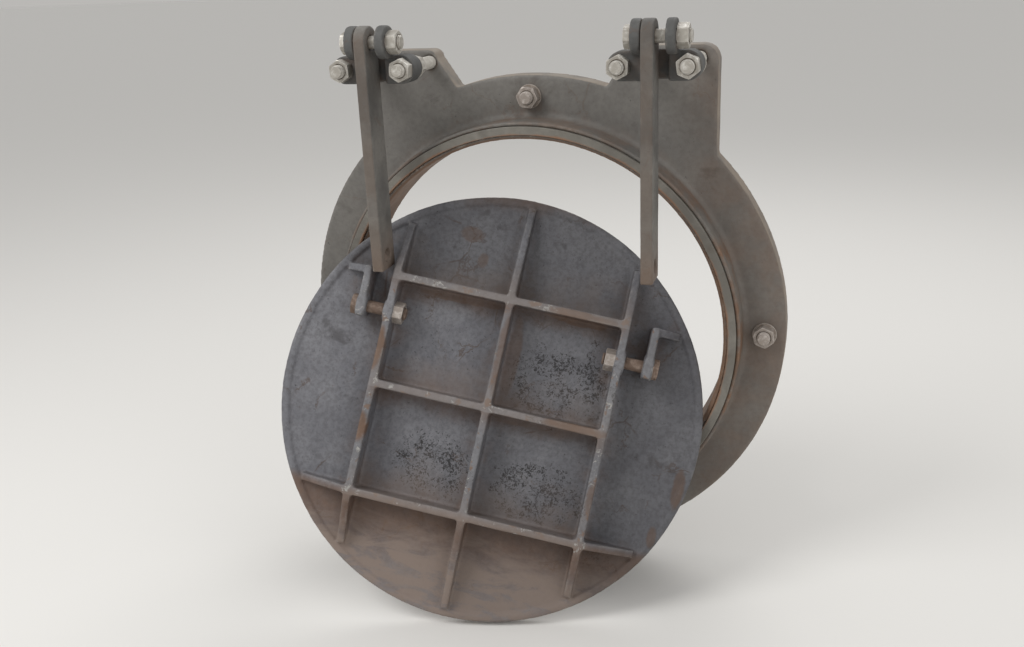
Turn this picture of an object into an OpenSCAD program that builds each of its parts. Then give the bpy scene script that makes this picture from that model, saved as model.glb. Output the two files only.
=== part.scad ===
// Double-hung flap gate for a round outlet: a flanged seat casting with two hinge
// ears, two adjustable hinge brackets, two hanging arms and a ribbed round cover
// that has come off its arms and leans against the seat.
// The origin is the centre of the opening on the flange's back face.
// +Y runs into the wall, +Z is up, and the gate faces -Y.

/* [Seat casting] */
// Diameter of the opening
opening_d = 610; // [560:1:640]
// Wall of the neck that carries the seat
neck_wall = 26; // [25:0.5:32]
// How far the neck stands in front of the flange
neck_h = 50; // [40:1:60]
// Thickness of the flange
flange_t = 40; // [30:1:55]
// Width and depth of the chamfer at the mouth of the opening
mouth_chamfer = 6; // [3:0.5:6]
// Radius of the fillet where the neck meets the flange
neck_fillet = 9; // [5:1:12]

/* [Seat ring] */
// Radial width of the seat ring
seat_w = 13; // [10:1:15]
// How far the seat ring stands in front of the neck
seat_proud = 4; // [2:0.5:6]
// How deep the seat ring sits in the neck
seat_sunk = 6; // [4:0.5:8]

/* [Wall fixings] */
// Distance from the neck to the circle on which the wall studs stand
anchor_in = 32; // [30:1:40]
// Distance from that circle to the flange's edge
anchor_edge = 32; // [24:1:40]
// Diameter of the wall studs
anchor_d = 20; // [16:1:22]
// How far a wall stud stands out of its nut
anchor_end = 9; // [5:1:15]

/* [Fasteners] */
// Width across the flats of the nuts and bolt heads
nut_af = 30; // [27:1:32]
// Thickness of a nut
nut_t = 16; // [13:1:18]
// Thickness of a bolt's head
head_t = 10; // [8:0.5:13]
// Outer diameter of a washer
washer_d = 37; // [34:1:40]
// Thickness of a washer
washer_t = 3; // [2:0.5:4]
// Gap all round a stud or bolt in its hole
hole_gap = 0.6; // [0.5:0.1:1]

/* [Hinge ears] */
// Height of the ears' top edge above the round flange
ear_rise = 40; // [34:1:50]
// Distance from the outer stud to an ear's outer edge
ear_out = 27; // [20:1:34]
// Distance from the inner stud to an ear's inner top corner
ear_in = 11; // [8:1:20]
// How much further in an ear's inner edge starts at the round flange
ear_flare = 31; // [20:1:36]
// Radius of the ears' outer corners
ear_corner_r = 24; // [15:1:30]

/* [Hinge brackets] */
// Distance from the middle of the gate to the middle of a hinge bracket
hinge_x = 209; // [204:1:212]
// Distance between the two studs of a bracket
stud_gap = 96; // [90:1:98]
// Diameter of the bracket studs and of the bolts
stud_d = 20; // [16:1:20]
// How far a bracket stud stands out of its front nut
stud_end = 6; // [3:1:12]
// Height of a bracket's bar
bar_h = 41; // [38:1:44]
// Distance from a stud to the end of the bar
bar_end = 18; // [17:1:24]
// Distance from an ear's top edge down to the middle of the bar
bar_drop = 19; // [15:1:24]
// Height of the hinge bolt above the middle of the bar
pin_rise = 40; // [36:1:46]
// Distance from the seat's face to the hinge bolt
pin_out = 64; // [58:1:70]
// Distance from the hinge bolt back to the front of the bar
pin_fore = 10; // [6:1:14]
// Thickness of a bracket's lugs
lug_t = 14; // [12:1:18]
// Radius of the lugs' round tops
lug_r = 24; // [20:1:26]
// Play of an arm between its bracket's two lugs
jaw_play = 16; // [12:1:18]
// How far the lugs sit to the right of the bracket's middle
jaw_shift = 3; // [0:0.5:3]
// Room behind an arm in its bracket, so that it can swing towards the seat
swing_room = 11; // [9:0.5:14]
// Thickness of the bracket's web behind the arm
web_t = 9; // [7:0.5:12]

/* [Arms] */
// Thickness of an arm
arm_t = 18; // [15:1:18]
// Depth of an arm from front to back
arm_w = 48; // [42:1:48]
// How far an arm's lower hole lies above the bolts of a closed cover
arm_lift = 22; // [20:1:30]
// Distance from the lower hole to the arm's square end
arm_tail = 22; // [18:1:26]
// Gap between an arm and the left lug that it has slid against
arm_gap = 1; // [0.5:0.5:2]
// Radial gap of the hinge bolt in the arm's hole
pin_gap = 0.08; // [0.05:0.01:0.1]

/* [Cover] */
// How far the cover reaches past the seat ring's outer edge
cover_lap = 8.5; // [4:0.5:12]
// Thickness of the cover's plate
cover_t = 16; // [12:1:20]
// Width of the raised band round the cover's front edge
rim_w = 12; // [8:1:18]
// Height of that band above the plate
rim_h = 4; // [2:0.5:8]
// Height of the ribs above the plate
rib_h = 44; // [36:1:50]
// Thickness of the ribs
rib_t = 12; // [10:1:14]
// Height of a rib where it ends at the rim
rib_end_h = 10; // [6:1:16]
// Distance between the level ribs
rib_z = 171; // [165:1:176]
// Clear width between an upright rib and the lug beside it
cover_jaw = 33; // [30:1:36]
// How far the cover's jaws sit inwards of the hinge brackets
jaw_in = 4; // [0:0.5:6]
// Distance from the upper level rib down to the cover's bolts
bolt_drop = 57; // [50:1:62]
// Height of the cover's bolts above the plate
cover_pin_out = 26; // [22:1:28]
// How far a lug runs below its bolt
lug_foot = 17; // [14:1:24]

/* [Cover's place] */
// Sideways place of the cover's middle
cover_x = -50; // [-56:1:-44]
// Height of the cover's middle
cover_z = -109; // [-115:1:-104]
// How far the cover leans back, in degrees
cover_lean = 22; // [20:0.5:25]
// How far the cover faces to the right, in degrees
cover_turn = 13.5; // [12:0.5:15]
// How far the cover has rolled clockwise, in degrees
cover_roll = 13.5; // [10:0.5:18]
// Gap between the cover and the seat ring that it leans on
cover_gap = 0.4; // [0.3:0.1:1]

/* [Hidden] */

paint = [0.27, 0.31, 0.36];
seat_tan = [0.62, 0.57, 0.50];
zinc = [0.72, 0.71, 0.67];
rust = [0.42, 0.26, 0.17];

$fn = 96;
fine = 180;
cut = 1;
nut_gap = 0.3;

// The seat, from the opening outwards
neck_r = opening_d / 2 + neck_wall;
anchor_r = neck_r + anchor_in;
flange_r = anchor_r + anchor_edge;
seat_out_r = neck_r - mouth_chamfer;
seat_in_r = seat_out_r - seat_w;
front_y = -flange_t;
face_y = front_y - neck_h;
seat_y = face_y - seat_proud;

// The ears
ear_top_z = flange_r + ear_rise;
ear_out_x = hinge_x + stud_gap / 2 + ear_out;
ear_in_x = hinge_x - stud_gap / 2 - ear_in;
ear_foot_x = ear_in_x - ear_flare;
ear_foot_z = sqrt(pow(flange_r, 2) - pow(ear_foot_x, 2));

// Holes
hole_d = stud_d + 2 * hole_gap;
anchor_hole_d = anchor_d + 2 * hole_gap;
nut_hole_d = stud_d + 2 * nut_gap;

// The hinges
bar_z = ear_top_z - bar_drop;
pin_z = bar_z + pin_rise;
pin_y = seat_y - pin_out;
bar_l = stud_gap + 2 * bar_end;
bar_front = pin_y + pin_fore;
web_front = pin_y + arm_w / 2 + swing_room;
bar_back = web_front + web_t;
jaw_w = arm_t + jaw_play;
lug_left = jaw_shift - jaw_w / 2 - lug_t;
lug_right = jaw_shift + jaw_w / 2 + lug_t;
bolt_end = 4;

// The cover
cover_r = seat_out_r + cover_lap;
rib_reach_r = cover_r - rim_w - cut;
rib_x = hinge_x - jaw_in - (cover_jaw + rib_t) / 2;
cover_lug_x = rib_x + rib_t + cover_jaw;
cover_pin_z = rib_z - bolt_drop;

// The arms
arm_x = jaw_shift - jaw_w / 2 + arm_gap + arm_t / 2;
arm_l = pin_z - cover_pin_z - arm_lift;

// Lean and turn of the cover as the rise of its back face per mm to the right and up
rise_x = tan(cover_turn);
rise_z = tan(cover_lean) / cos(cover_turn);
function rise(x, z) = rise_x * (x - cover_x) + rise_z * (z - cover_z);

// Whether the cover reaches a point of the seat at sideways place x and height z
function covers(x, z) =
    let (dx = x - cover_x, dz = z - cover_z, dy = rise(x, z),
         across = cos(cover_turn) * dx + sin(cover_turn) * dy,
         up = sin(cover_lean) * (cos(cover_turn) * dy - sin(cover_turn) * dx) + cos(cover_lean) * dz)
    across * across + up * up < cover_r * cover_r;

// Highest rise over the seat ring's inner edge, which sets how far out the cover stands
seat_rise = max([for (a = [0 : 0.05 : 360]) let (x = seat_in_r * cos(a), z = seat_in_r * sin(a))
                 if (covers(x, z)) rise(x, z)]);
cover_y = seat_y - cover_gap / cos(cover_lean) / cos(cover_turn) - seat_rise;

// Rods along +Y and +X, from the first place to the second
module rod_y(d, y0, y1, fn = $fn)
    translate([0, y0, 0]) rotate([-90, 0, 0]) cylinder(d = d, h = y1 - y0, $fn = fn);
module rod_x(d, x0, x1) translate([x0, 0, 0]) rotate([0, 90, 0]) cylinder(d = d, h = x1 - x0);

// Hexagons along +Y and +X
module hex_y(y0, y1) rod_y(nut_af / cos(30), y0, y1, 6);
module hex_x(x0, x1)
    translate([x0, 0, 0]) rotate([0, 90, 0]) cylinder(d = nut_af / cos(30), h = x1 - x0, $fn = 6);

// Outline of the flange with its two ears
module flange_outline() {
    circle(r = flange_r, $fn = fine);
    for (side = [0, 1]) mirror([side, 0]) {
        small_r = ear_corner_r / 2;
        translate([ear_in_x, 0]) square([ear_out_x - ear_in_x, ear_top_z - ear_corner_r]);
        translate([ear_in_x + small_r, 0])
            square([ear_out_x - ear_in_x - small_r - ear_corner_r, ear_top_z]);
        translate([ear_out_x - ear_corner_r, ear_top_z - ear_corner_r]) circle(r = ear_corner_r);
        translate([ear_in_x + small_r, ear_top_z - small_r]) circle(r = small_r);
        polygon([[ear_foot_x, 0], [ear_foot_x, ear_foot_z], [ear_in_x, ear_top_z - small_r],
                 [ear_in_x + ear_corner_r, ear_top_z - ear_corner_r], [ear_in_x + ear_corner_r, 0]]);
    }
}

// Half section of the neck: radius across, distance from the back face up
module neck_section() {
    top = flange_t + neck_h;
    difference() {
        union() {
            translate([opening_d / 2 - cut, 0]) square([neck_wall + cut, top]);
            difference() {
                translate([neck_r - cut, flange_t - cut]) square(neck_fillet + cut);
                translate([neck_r + neck_fillet, flange_t + neck_fillet]) circle(r = neck_fillet);
            }
        }
        translate([seat_in_r - nut_gap, top - seat_sunk]) square([seat_w + 2 * nut_gap, seat_sunk + cut]);
        translate([opening_d / 2 - 2 * cut, top - mouth_chamfer]) square([2 * cut, mouth_chamfer + cut]);
        polygon([[opening_d / 2, top - mouth_chamfer], [opening_d / 2 + mouth_chamfer, top],
                 [opening_d / 2 + mouth_chamfer, top + cut], [opening_d / 2 - cut, top + cut],
                 [opening_d / 2 - cut, top - mouth_chamfer]]);
    }
}

// Places of the four wall studs, from the top clockwise
module at_anchor(i) rotate([0, 90 * i, 0]) translate([0, 0, anchor_r]) children();

// Places of the two studs of the bracket at x
module at_studs(x) for (s = [-1, 1]) translate([x + s * stud_gap / 2, 0, bar_z]) children();

module seat_casting() color(paint) difference() {
    union() {
        rotate([90, 0, 0]) linear_extrude(flange_t) flange_outline();
        rotate([90, 0, 0]) rotate_extrude($fn = fine) neck_section();
    }
    rod_y(opening_d, face_y - cut, cut, fine);
    for (i = [0 : 3]) at_anchor(i) rod_y(anchor_hole_d, front_y - cut, cut);
    for (x = [-hinge_x, hinge_x]) at_studs(x) rod_y(hole_d, front_y - cut, cut);
}

module seat_ring() color(seat_tan)
    rotate([90, 0, 0]) rotate_extrude($fn = fine)
        translate([seat_in_r, -face_y - seat_sunk]) square([seat_w, seat_sunk + seat_proud]);

// A wall stud, cut off level with the flange's back face
module anchor_stud(i) color(zinc)
    at_anchor(i) rod_y(anchor_d, front_y - washer_t - nut_t - anchor_end, 0);

// A washer and a nut that bear on the face at y, in front of it or behind it
module washer_nut(y, rod_d, back = false) mirror([0, back ? 1 : 0, 0]) translate([0, back ? -y : y, 0])
    difference() {
        union() {
            rod_y(washer_d, -washer_t, 0);
            hex_y(-washer_t - nut_t, -washer_t);
        }
        rod_y(rod_d + 2 * nut_gap, -washer_t - nut_t - cut, cut);
    }

module anchor_nut(i) color(zinc) at_anchor(i) washer_nut(front_y, anchor_d);

module anchor_stud_top() anchor_stud(0);
module anchor_stud_right() anchor_stud(1);
module anchor_stud_bottom() anchor_stud(2);
module anchor_stud_left() anchor_stud(3);
module anchor_nut_top() anchor_nut(0);
module anchor_nut_right() anchor_nut(1);
module anchor_nut_bottom() anchor_nut(2);
module anchor_nut_left() anchor_nut(3);

// Side view of a bracket's lug, distance in front of the back face across, height up
module lug_outline() {
    translate([-pin_y, pin_z]) circle(r = lug_r);
    polygon([[-bar_back, bar_z - bar_h / 2], [-bar_front, bar_z - bar_h / 2], [-bar_front, pin_z - lug_r],
             [lug_r - pin_y, pin_z], [-pin_y - lug_r, pin_z], [-bar_back, bar_z + bar_h / 2]]);
}

// Bar with round ends for the two studs, and two lugs that reach forward and up to the pin
module bracket(x) color(paint) translate([x, 0, 0]) difference() {
    union() {
        translate([0, bar_back, bar_z]) rotate([90, 0, 0]) linear_extrude(bar_back - bar_front) {
            square([bar_l - bar_h, bar_h], center = true);
            for (s = [-1, 1]) translate([s * (bar_l - bar_h) / 2, 0]) circle(d = bar_h);
        }
        for (left = [lug_left, lug_right - lug_t]) translate([left, 0, 0])
            rotate([90, 0, 90]) mirror([1, 0, 0]) linear_extrude(lug_t) lug_outline();
    }
    at_studs(0) rod_y(hole_d, bar_front - cut, bar_back + cut);
    translate([0, pin_y, pin_z]) rod_x(hole_d, lug_left - cut, lug_right + cut);
    translate([lug_left + lug_t, bar_front - cut, bar_z - bar_h])
        cube([jaw_w, web_front - bar_front + cut, 2 * bar_h]);
}
module bracket_left() bracket(-hinge_x);
module bracket_right() bracket(hinge_x);

module bracket_studs(x) color(zinc) at_studs(x) rod_y(stud_d, bar_front - washer_t - nut_t - stud_end, 0);
module bracket_studs_left() bracket_studs(-hinge_x);
module bracket_studs_right() bracket_studs(hinge_x);

module front_nuts(x) color(zinc) at_studs(x) washer_nut(bar_front, stud_d);
module front_nuts_left() front_nuts(-hinge_x);
module front_nuts_right() front_nuts(hinge_x);

module back_nuts(x) color(zinc) at_studs(x) washer_nut(bar_back, stud_d, true);
module back_nuts_left() back_nuts(-hinge_x);
module back_nuts_right() back_nuts(hinge_x);

// Hinge bolt with its head on the left, through both lugs and the arm
module hinge_bolt(x) color(zinc) translate([x, pin_y, pin_z]) {
    rod_x(stud_d, lug_left, lug_right + nut_t + bolt_end);
    hex_x(lug_left - head_t, lug_left);
}
module hinge_bolt_left() hinge_bolt(-hinge_x);
module hinge_bolt_right() hinge_bolt(hinge_x);

module hinge_nut(x) color(zinc) translate([x, pin_y, pin_z]) difference() {
    hex_x(lug_right, lug_right + nut_t);
    rod_x(nut_hole_d, lug_right - cut, lug_right + nut_t + cut);
}
module hinge_nut_left() hinge_nut(-hinge_x);
module hinge_nut_right() hinge_nut(hinge_x);

// Flat bar that hangs from the hinge bolt, round at the top and square at the foot
module arm(x) color(paint) translate([x + arm_x, pin_y, pin_z]) difference() {
    union() {
        rod_x(arm_w, -arm_t / 2, arm_t / 2);
        translate([-arm_t / 2, -arm_w / 2, -arm_l - arm_tail]) cube([arm_t, arm_w, arm_l + arm_tail]);
    }
    rod_x(stud_d + 2 * pin_gap, -arm_t, arm_t);
    translate([0, 0, -arm_l]) rod_x(hole_d, -arm_t, arm_t);
}
module arm_left() arm(-hinge_x);
module arm_right() arm(hinge_x);

// Puts a piece of the cover, drawn about the middle of its back face, where the cover lies
module on_cover() translate([cover_x, cover_y, cover_z])
    rotate([0, 0, cover_turn]) rotate([-cover_lean, 0, 0]) rotate([0, cover_roll, 0]) children();

module cover_plate() color(paint) on_cover() rotate([90, 0, 0]) {
    cylinder(r = cover_r, h = cover_t, $fn = fine);
    difference() {
        cylinder(r = cover_r, h = cover_t + rim_h, $fn = fine);
        translate([0, 0, cover_t]) cylinder(r = cover_r - rim_w, h = rim_h + cut, $fn = fine);
    }
}

// How far a rib that lies between off and off + rib_t from the middle reaches before the rim
function rib_reach(off) = sqrt(pow(rib_reach_r, 2) - pow(off + rib_t, 2));

// Side view of an upright rib at distance x from the middle, tapered to the rim at both ends
module upright_outline(x) {
    reach = rib_reach(abs(x) - rib_t / 2);
    polygon([[0, -reach], [rib_end_h, -reach], [rib_h, -rib_z - rib_t], [rib_h, rib_z + rib_t],
             [rib_end_h, reach], [0, reach]]);
}

// Three upright ribs, the outer two drilled for the bolts
module cover_upright_ribs() color(paint) on_cover()
    for (x = [-rib_x, 0, rib_x]) difference() {
        translate([x - rib_t / 2, -cover_t, 0])
            rotate([90, 0, 90]) mirror([1, 0, 0]) linear_extrude(rib_t) upright_outline(x);
        if (x != 0) at_cover_pin() rod_x(hole_d, x - rib_t, x + rib_t);
    }

// Line of the cover's two bolts
module at_cover_pin() translate([0, -cover_t - cover_pin_out, cover_pin_z]) children();

// Bar of a level rib from x0 to x1 at height z
module level_bar(x0, x1, z) translate([x0, -cover_t - rib_h, z - rib_t / 2]) cube([x1 - x0, rib_h, rib_t]);

// End of a level rib at height z, from x0 down to the rim
module level_end(x0, z) translate([0, -cover_t, z - rib_t / 2]) linear_extrude(rib_t) {
    reach = rib_reach(abs(z) - rib_t / 2);
    polygon([[x0, 0], [x0, -rib_h], [reach, -rib_end_h], [reach, 0]]);
}

// Level ribs between the uprights, the lowest carried on to the rim
module cover_level_ribs() color(paint) on_cover() for (side = [0, 1]) mirror([side, 0, 0]) {
    for (z = [-rib_z, 0, rib_z]) level_bar(rib_t / 2, rib_x - rib_t / 2, z);
    level_end(rib_x + rib_t / 2, -rib_z);
}

// Lug beside the right outer upright: a leg for the bolt, braced to the rim at its top
module cover_lug() difference() {
    union() {
        translate([cover_lug_x - rib_t / 2, -cover_t - rib_h, cover_pin_z - lug_foot])
            cube([rib_t, rib_h, rib_z + rib_t / 2 - cover_pin_z + lug_foot]);
        level_end(cover_lug_x, rib_z);
    }
    at_cover_pin() rod_x(hole_d, cover_lug_x - rib_t, cover_lug_x + rib_t);
}
module cover_lug_left() color(paint) on_cover() mirror([1, 0, 0]) cover_lug();
module cover_lug_right() color(paint) on_cover() cover_lug();

// Bolt across one jaw of the cover, its head outside the lug and its nut inside the rib
module cover_bolt() at_cover_pin() {
    rod_x(stud_d, rib_x - rib_t / 2 - nut_t - bolt_end, cover_lug_x + rib_t / 2);
    hex_x(cover_lug_x + rib_t / 2, cover_lug_x + rib_t / 2 + head_t);
}
module cover_bolt_left() color(rust) on_cover() mirror([1, 0, 0]) cover_bolt();
module cover_bolt_right() color(rust) on_cover() cover_bolt();

module cover_nut() at_cover_pin() difference() {
    hex_x(rib_x - rib_t / 2 - nut_t, rib_x - rib_t / 2);
    rod_x(nut_hole_d, rib_x - rib_t / 2 - nut_t - cut, rib_x);
}
module cover_nut_left() color(zinc) on_cover() mirror([1, 0, 0]) cover_nut();
module cover_nut_right() color(zinc) on_cover() cover_nut();

seat_casting();
seat_ring();
anchor_stud_top();
anchor_stud_right();
anchor_stud_bottom();
anchor_stud_left();
anchor_nut_top();
anchor_nut_right();
anchor_nut_bottom();
anchor_nut_left();
bracket_left();
bracket_right();
bracket_studs_left();
bracket_studs_right();
front_nuts_left();
front_nuts_right();
back_nuts_left();
back_nuts_right();
hinge_bolt_left();
hinge_bolt_right();
hinge_nut_left();
hinge_nut_right();
arm_left();
arm_right();
cover_plate();
cover_upright_ribs();
cover_level_ribs();
cover_lug_left();
cover_lug_right();
cover_bolt_left();
cover_bolt_right();
cover_nut_left();
cover_nut_right();
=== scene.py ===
import math

import bmesh
import bpy
from mathutils import Euler, Matrix, Vector


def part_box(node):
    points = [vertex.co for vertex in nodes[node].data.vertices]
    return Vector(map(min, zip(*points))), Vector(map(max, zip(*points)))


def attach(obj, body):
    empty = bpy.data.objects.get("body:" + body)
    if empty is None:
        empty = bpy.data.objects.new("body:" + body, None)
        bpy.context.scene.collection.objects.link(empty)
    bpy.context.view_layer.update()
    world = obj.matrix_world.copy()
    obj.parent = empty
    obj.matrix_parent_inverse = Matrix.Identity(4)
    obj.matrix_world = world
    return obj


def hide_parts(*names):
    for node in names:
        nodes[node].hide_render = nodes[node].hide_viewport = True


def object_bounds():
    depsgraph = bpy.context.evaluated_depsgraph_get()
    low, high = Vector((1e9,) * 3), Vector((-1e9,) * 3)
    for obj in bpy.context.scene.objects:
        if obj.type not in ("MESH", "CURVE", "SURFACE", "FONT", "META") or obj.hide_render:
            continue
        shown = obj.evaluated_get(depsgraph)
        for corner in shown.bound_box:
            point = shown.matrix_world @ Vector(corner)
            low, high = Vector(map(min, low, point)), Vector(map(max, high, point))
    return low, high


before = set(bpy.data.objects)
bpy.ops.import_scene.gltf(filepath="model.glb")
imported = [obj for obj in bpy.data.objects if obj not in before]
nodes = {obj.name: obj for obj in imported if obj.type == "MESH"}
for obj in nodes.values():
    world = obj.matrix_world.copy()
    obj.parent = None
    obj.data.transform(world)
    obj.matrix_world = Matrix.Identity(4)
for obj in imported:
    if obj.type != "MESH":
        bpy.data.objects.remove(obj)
cadBox = [list(corner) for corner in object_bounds()]
print("frame loaded:", len(nodes), "nodes")


def cornersIn(node, place):
    # lowest and highest corner of a CAD node, measured in the frame that place gives
    back = place.inverted()
    points = [back @ vertex.co for vertex in nodes[node].data.vertices]
    return (Vector([min(p[i] for p in points) for i in range(3)]),
            Vector([max(p[i] for p in points) for i in range(3)]))


def showPiece(name, mesh, body, material, stands, place=Matrix()):
    mesh.transform(place)
    piece = bpy.data.objects.new(name, mesh)
    bpy.context.scene.collection.objects.link(piece)
    mesh.materials.clear()
    mesh.materials.append(material)
    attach(piece, body)
    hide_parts(*stands)


def cloudTexture(name, size, depth):
    texture = bpy.data.textures.new(name, "CLOUDS")
    texture.noise_scale = size
    texture.noise_depth = depth
    return texture


def addShape(shape, spot, build):
    # draw with build along the +Z of the frame spot, and add the result to shape
    part = bmesh.new()
    build(part)
    part.transform(spot)
    held = bpy.data.meshes.new("held")
    part.to_mesh(held)
    part.free()
    shape.from_mesh(held)
    bpy.data.meshes.remove(held)


def evaluated(thing):
    bpy.context.view_layer.update()
    return bpy.data.meshes.new_from_object(thing.evaluated_get(bpy.context.evaluated_depsgraph_get()))


def castPiece(name, casting, material, body="root", place=Matrix()):
    # join the CAD solids, fuse them on a fine grid and round the edges as sand casting does
    joined = bmesh.new()
    for source in casting["stands"]:
        joined.from_mesh(nodes[source].data)
    joined.transform(place.inverted())
    for middle, radius, width in casting.get("bosses", []):
        disc = [circle(radius, z, casting["bossSides"]) for z in (-width / 2, width / 2)]
        addShape(joined, aim(middle, (1, 0, 0)), lambda part: loft(part, disc))
    mesh = bpy.data.meshes.new(name + "Rough")
    joined.to_mesh(mesh)
    joined.free()
    rough = bpy.data.objects.new(name + "Rough", mesh)
    bpy.context.scene.collection.objects.link(rough)
    fuse = rough.modifiers.new("fuse", "REMESH")
    fuse.mode = "VOXEL"
    fuse.voxel_size = casting["grid"]
    soften = rough.modifiers.new("soften", "SMOOTH")
    soften.factor = 0.5
    soften.iterations = casting["soften"]
    for label, size, depth, height in casting["waves"]:
        wave = rough.modifiers.new(label, "DISPLACE")
        wave.texture = cloudTexture(name + label, size, depth)
        wave.texture_coords = "LOCAL"
        wave.strength = height
        wave.mid_level = 0.5
    shaped = evaluated(rough)
    triangles = 2 * len(shaped.polygons)
    if triangles > casting["triangles"]:
        rough.modifiers.clear()
        rough.data = shaped
        thin = rough.modifiers.new("thin", "DECIMATE")
        thin.ratio = casting["triangles"] / triangles
        shaped = evaluated(rough)
    bpy.data.objects.remove(rough)
    shaped.shade_smooth()
    showPiece(name, shaped, body, material, casting["stands"], place)
    print(name, "cast:", len(shaped.polygons), "faces")


def loft(shape, rings, closed=False):
    # skin over rings of points, each with as many points, capped at both ends unless closed
    rows = [[shape.verts.new(point) for point in ring] for ring in rings]
    pairs = list(zip(rows, rows[1:])) + ([(rows[-1], rows[0])] if closed else [])
    count = len(rows[0])
    for low, high in pairs:
        for i in range(count):
            shape.faces.new((low[i], low[(i + 1) % count], high[(i + 1) % count], high[i]))
    if not closed:
        shape.faces.new(list(reversed(rows[0])))
        shape.faces.new(rows[-1])


def circle(radius, z, count):
    turn = 2 * math.pi / count
    return [Vector((radius * math.cos(i * turn), radius * math.sin(i * turn), z)) for i in range(count)]


fastener = {
    "acrossFlats": 0.030,
    "coneShare": 1.03,                  # where the turned corners begin, against half the flats
    "sides": 60,
    "sharpFrom": 28,
    "bevel": 0.0012,
    "pitch": 0.0025,
    "threadDepth": 0.0014,
    "rowsPerPitch": 6,
    "rodSides": 24,
    "endDome": 0.0024,
    "washerEdge": 0.0006,
    "washerHigh": 0.003,
    "headHigh": 0.010,
    "headDome": 0.0006,
    "nutHigh": 0.016,
    "rodR": 0.010,
    "boreR": 0.0102,
    "threadLong": 0.036,
    "nutAfterHead": 21,                 # degrees that a nut is turned past its bolt's head
}


def hexRing(turned):
    # points round a hexagon, each with the height that its corner loses when it is turned off
    half = fastener["acrossFlats"] / 2
    ring = []
    for i in range(fastener["sides"]):
        angle = 2 * math.pi * i / fastener["sides"]
        toFlat = (angle + math.radians(turned)) % (math.pi / 3) - math.pi / 6
        reach = half / math.cos(toFlat)
        drop = max(reach - half * fastener["coneShare"], 0) * math.tan(math.radians(30))
        ring.append((Vector((reach * math.cos(angle), reach * math.sin(angle), 0)), drop))
    return ring


def hexBody(shape, height, boreR, turned, domed=False):
    # nut or bolt head along +Z, its corners turned off as on real ware
    bevel, count = fastener["bevel"], fastener["sides"]
    cone = fastener["acrossFlats"] / 2 * fastener["coneShare"]
    side = hexRing(turned)
    low = [point + Vector((0, 0, drop)) for point, drop in side]
    high = [point + Vector((0, 0, height - drop)) for point, drop in side]
    turnedLow = [point.normalized() * min(cone, point.length) for point, drop in side]
    turnedHigh = [point + Vector((0, 0, height)) for point in turnedLow]
    if boreR:
        below = [circle(boreR, bevel, count), circle(boreR + bevel, 0, count)]
        above = [circle(boreR + bevel, height, count), circle(boreR, height - bevel, count)]
        loft(shape, below + [turnedLow, low, high, turnedHigh] + above, closed=True)
    else:
        top = circle(cone * 0.8, height + (fastener["headDome"] if domed else 0), count)
        loft(shape, [turnedLow, low, high, turnedHigh, top])


def washerBody(shape, outerR, innerR, thickness):
    edge = fastener["washerEdge"]
    count = fastener["sides"]
    loft(shape, [circle(innerR, 0, count), circle(outerR - edge, 0, count), circle(outerR, edge, count),
                 circle(outerR, thickness - edge, count), circle(outerR - edge, thickness, count),
                 circle(innerR, thickness, count)], closed=True)


def threadedRod(shape, radius, length, threads):
    # rod along +Z, threaded between the given places, with a turned dome at its far end
    count, pitch = fastener["rodSides"], fastener["pitch"]
    step = pitch / fastener["rowsPerPitch"]
    marks = {0.0, length}
    for start, end in threads:
        rows = int((end - start) / step)
        marks.update(start + (end - start) * row / rows for row in range(rows + 1))
    rings = []
    for z in sorted(marks):
        cut = any(start <= z <= end for start, end in threads)
        ring = []
        for i in range(count):
            angle = 2 * math.pi * i / count
            wave = 0.5 - 0.5 * math.cos(2 * math.pi * (z / pitch - i / count))
            depth = fastener["threadDepth"] * wave if cut else 0
            dome = max(0, z - (length - fastener["endDome"])) * 0.9
            reach = min(radius - depth, radius - dome)
            ring.append(Vector((reach * math.cos(angle), reach * math.sin(angle), z)))
        rings.append(ring)
    loft(shape, rings)


def aim(point, direction):
    # frame at point whose +Z runs along direction
    return Matrix.Translation(point) @ Vector(direction).to_track_quat("Z", "Y").to_matrix().to_4x4()


def fastenerPiece(name, material, stands, builders, place=Matrix()):
    # builders are pairs of a frame and a function that draws along that frame's +Z
    shape = bmesh.new()
    for spot, build in builders:
        addShape(shape, spot, build)
    bmesh.ops.recalc_face_normals(shape, faces=shape.faces)
    mesh = bpy.data.meshes.new(name)
    shape.to_mesh(mesh)
    shape.free()
    mesh.shade_smooth()
    mesh.set_sharp_from_angle(angle=math.radians(fastener["sharpFrom"]))
    showPiece(name, mesh, "root", material, stands, place)


def addNode(tree, kind, wires=None, **settings):
    node = tree.nodes.new("ShaderNode" + kind)
    for key, value in settings.items():
        setattr(node, key, value)
    for key, value in (wires or {}).items():
        if isinstance(value, bpy.types.NodeSocket):
            tree.links.new(value, node.inputs[key])
        else:
            node.inputs[key].default_value = value
    return node


def maths(tree, operation, first, second=0.0, clamp=False):
    return addNode(tree, "Math", {0: first, 1: second}, operation=operation, use_clamp=clamp).outputs[0]


def times(tree, first, second):
    return maths(tree, "MULTIPLY", first, second)


def plus(tree, first, second):
    return maths(tree, "ADD", first, second)


def minus(tree, first, second):
    return maths(tree, "SUBTRACT", first, second)


def ratio(tree, first, second):
    return maths(tree, "DIVIDE", first, second)


def larger(tree, first, second):
    return maths(tree, "MAXIMUM", first, second)


def fade(tree, value, start, end, low=0.0, high=1.0):
    # low at start and high at end, with a soft change between
    wires = {"Value": value, "From Min": start, "From Max": end, "To Min": low, "To Max": high}
    return addNode(tree, "MapRange", wires, interpolation_type="SMOOTHSTEP").outputs[0]


def split(tree, where):
    return addNode(tree, "SeparateXYZ", {0: where}).outputs


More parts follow.
